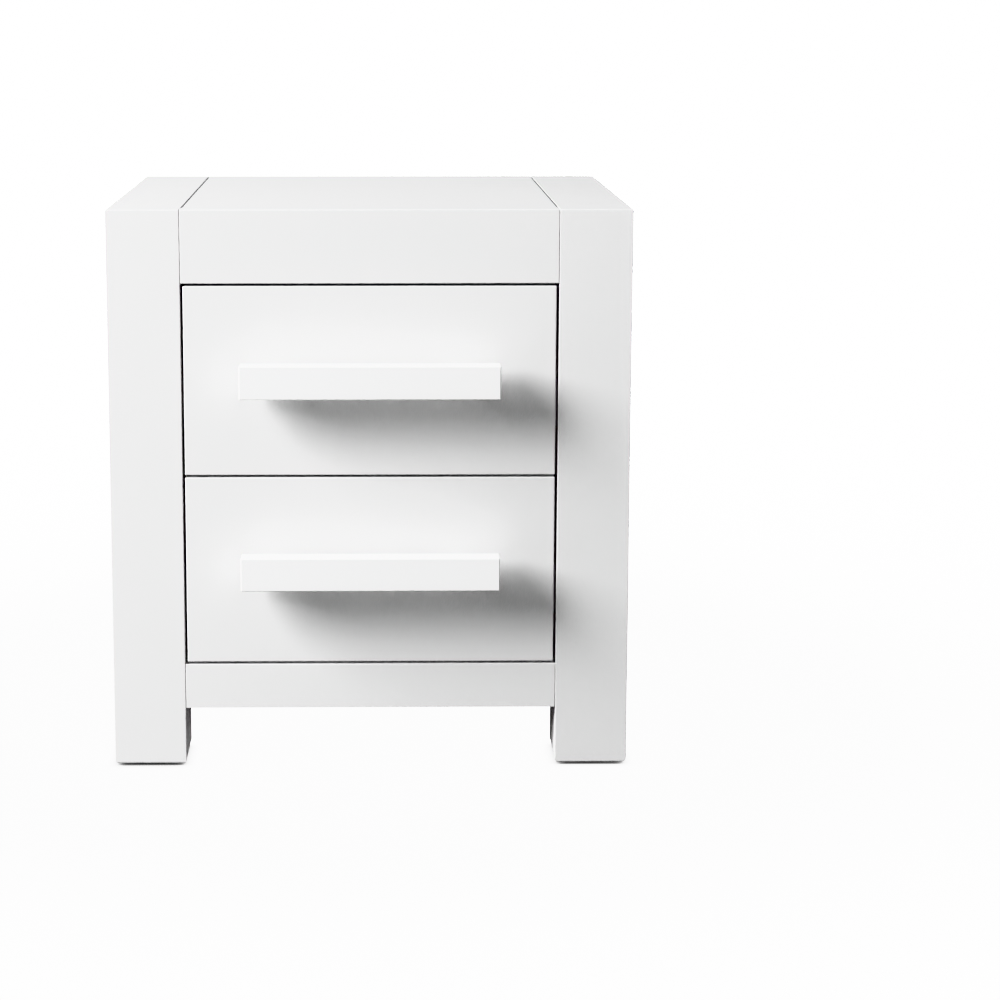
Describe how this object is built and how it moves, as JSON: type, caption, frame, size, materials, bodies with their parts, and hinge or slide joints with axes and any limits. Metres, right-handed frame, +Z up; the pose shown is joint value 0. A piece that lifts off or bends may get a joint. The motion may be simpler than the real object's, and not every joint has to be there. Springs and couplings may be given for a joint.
{
  "type": "nightstand with drawers",
  "caption": "White lacquered nightstand with square corner legs, flush drawers on full-extension ball-bearing slides, and stand-off bar handles.",
  "frame": {"origin": "on the floor, under the middle of the object's box, handles included", "axes": "+Z up; the drawer fronts face -Y and the drawers open towards -Y; +X to the right of someone facing the drawers"},
  "size_m": [0.45, 0.432, 0.49],
  "materials": {
    "white_lacquer": "satin white sprayed lacquer, edges slightly eased",
    "drawer_board": "matt white laminated board",
    "back_board": "matt white painted hardboard",
    "zinced_steel": "rolled sheet, bright zinc plated",
    "nickel_steel": "nickel plated, bright",
    "foot_glide": "moulded, fine matt grain"
  },
  "bodies": {
    "carcase": {"front_left_leg": "white_lacquer", "front_right_leg": "white_lacquer", "rear_left_leg": "white_lacquer", "rear_right_leg": "white_lacquer", "front_top_rail": "white_lacquer", "front_bottom_rail": "white_lacquer", "rear_top_rail": "white_lacquer", "rear_bottom_rail": "white_lacquer", "left_top_rail": "white_lacquer", "left_bottom_rail": "white_lacquer", "right_top_rail": "white_lacquer", "right_bottom_rail": "white_lacquer", "top_panel": "white_lacquer", "left_side_panel": "white_lacquer", "right_side_panel": "white_lacquer", "back_panel": "back_board", "floor_panel": "back_board", "front_left_glide": "foot_glide", "front_right_glide": "foot_glide", "rear_left_glide": "foot_glide", "rear_right_glide": "foot_glide", "upper_left_runner_batten": "drawer_board", "upper_left_cabinet_member": "zinced_steel", "upper_right_runner_batten": "drawer_board", "upper_right_cabinet_member": "zinced_steel", "lower_left_runner_batten": "drawer_board", "lower_left_cabinet_member": "zinced_steel", "lower_right_runner_batten": "drawer_board", "lower_right_cabinet_member": "zinced_steel"},
    "upper_drawer": {"upper_drawer_front": "white_lacquer", "upper_drawer_left_side": "drawer_board", "upper_drawer_right_side": "drawer_board", "upper_drawer_back": "drawer_board", "upper_drawer_bottom": "drawer_board", "upper_handle_bar": "white_lacquer", "upper_handle_left_spacer": "white_lacquer", "upper_handle_left_screw": "nickel_steel", "upper_left_drawer_member": "zinced_steel", "upper_handle_right_spacer": "white_lacquer", "upper_handle_right_screw": "nickel_steel", "upper_right_drawer_member": "zinced_steel"},
    "upper_middle_members": {"upper_left_middle_member": "zinced_steel", "upper_right_middle_member": "zinced_steel"},
    "lower_drawer": {"lower_drawer_front": "white_lacquer", "lower_drawer_left_side": "drawer_board", "lower_drawer_right_side": "drawer_board", "lower_drawer_back": "drawer_board", "lower_drawer_bottom": "drawer_board", "lower_handle_bar": "white_lacquer", "lower_handle_left_spacer": "white_lacquer", "lower_handle_left_screw": "nickel_steel", "lower_left_drawer_member": "zinced_steel", "lower_handle_right_spacer": "white_lacquer", "lower_handle_right_screw": "nickel_steel", "lower_right_drawer_member": "zinced_steel"},
    "lower_middle_members": {"lower_left_middle_member": "zinced_steel", "lower_right_middle_member": "zinced_steel"}
  },
  "joints": [
    {"name": "upper_drawer_slide", "type": "slide", "parent": "carcase", "child": "upper_drawer", "axis": [0, -1, 0], "range_m": [0, 0.35]},
    {"name": "upper_middle_member_slide", "type": "slide", "parent": "carcase", "child": "upper_middle_members", "axis": [0, -1, 0], "range_m": [0, 0.175]},
    {"name": "lower_drawer_slide", "type": "slide", "parent": "carcase", "child": "lower_drawer", "axis": [0, -1, 0], "range_m": [0, 0.35]},
    {"name": "lower_middle_member_slide", "type": "slide", "parent": "carcase", "child": "lower_middle_members", "axis": [0, -1, 0], "range_m": [0, 0.175]}
  ],
  "couplings": [
    {"joint": "upper_middle_member_slide", "follows": "upper_drawer_slide", "ratio": 0.5},
    {"joint": "lower_middle_member_slide", "follows": "lower_drawer_slide", "ratio": 0.5}
  ]
}
